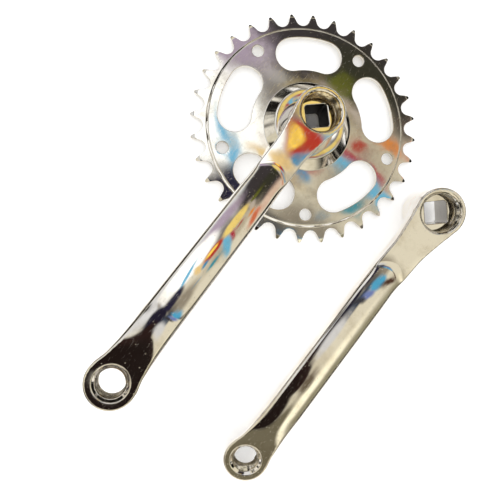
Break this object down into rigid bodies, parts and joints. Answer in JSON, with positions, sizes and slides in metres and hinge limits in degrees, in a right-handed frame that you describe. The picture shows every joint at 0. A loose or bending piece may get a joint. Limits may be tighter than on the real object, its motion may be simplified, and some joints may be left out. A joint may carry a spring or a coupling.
{
  "type": "bicycle crankset",
  "caption": "Chrome-plated steel bicycle crankset laid down loose: right crank with a stamped toothed chainring pressed on, and left crank, with square sockets and threaded pedal eyes.",
  "frame": {"origin": "on the right crank's axis, in the middle plane of the chainring's teeth", "axes": "+Z outboard along the right crank's axis, right arm along -Y, loose left crank towards +X"},
  "size_m": [0.1687, 0.2505, 0.0509],
  "materials": {
    "chainring_chrome": "chrome-plated stamped steel, polished, lightly scuffed",
    "arm_chrome": "chrome-plated forged steel, mirror bright, fine scratches"
  },
  "bodies": {
    "right_crank": {"right_crank_arm": "arm_chrome", "chainring": "chainring_chrome"},
    "left_crank": {"left_crank_arm": "arm_chrome"}
  },
  "joints": [
    {"name": "left_crank_lift", "type": "slide", "parent": "right_crank", "child": "left_crank", "axis": [0, 0, 1], "range_m": [0, 0.08]}
  ]
}
